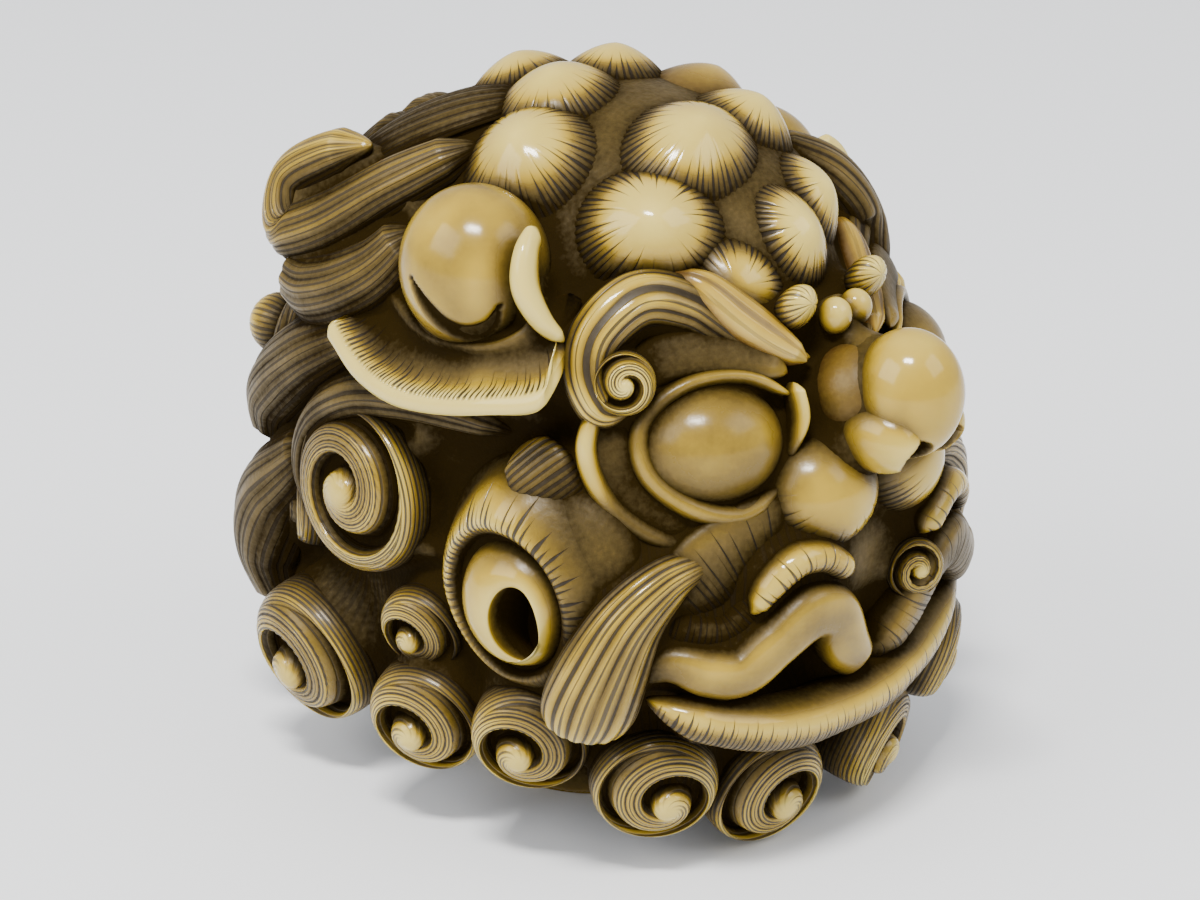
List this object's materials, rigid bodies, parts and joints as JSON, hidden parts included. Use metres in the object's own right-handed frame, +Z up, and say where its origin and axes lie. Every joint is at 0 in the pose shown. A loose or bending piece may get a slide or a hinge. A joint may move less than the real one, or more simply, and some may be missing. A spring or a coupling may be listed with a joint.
{
  "type": "netsuke",
  "caption": "Carved ivory netsuke of a guardian lion's head, with a bossed crown, folded ears, snail-curled mane and a cord tunnel through the cheeks.",
  "frame": {"origin": "centre of the flat underside of the neck, on the table", "axes": "+Z up, -Y the way the face looks, +X the head's own left side"},
  "size_m": [0.0356, 0.043, 0.0416],
  "materials": {
    "ivory": "polished"
  },
  "bodies": {
    "root": {"head": "ivory"}
  },
  "joints": []
}
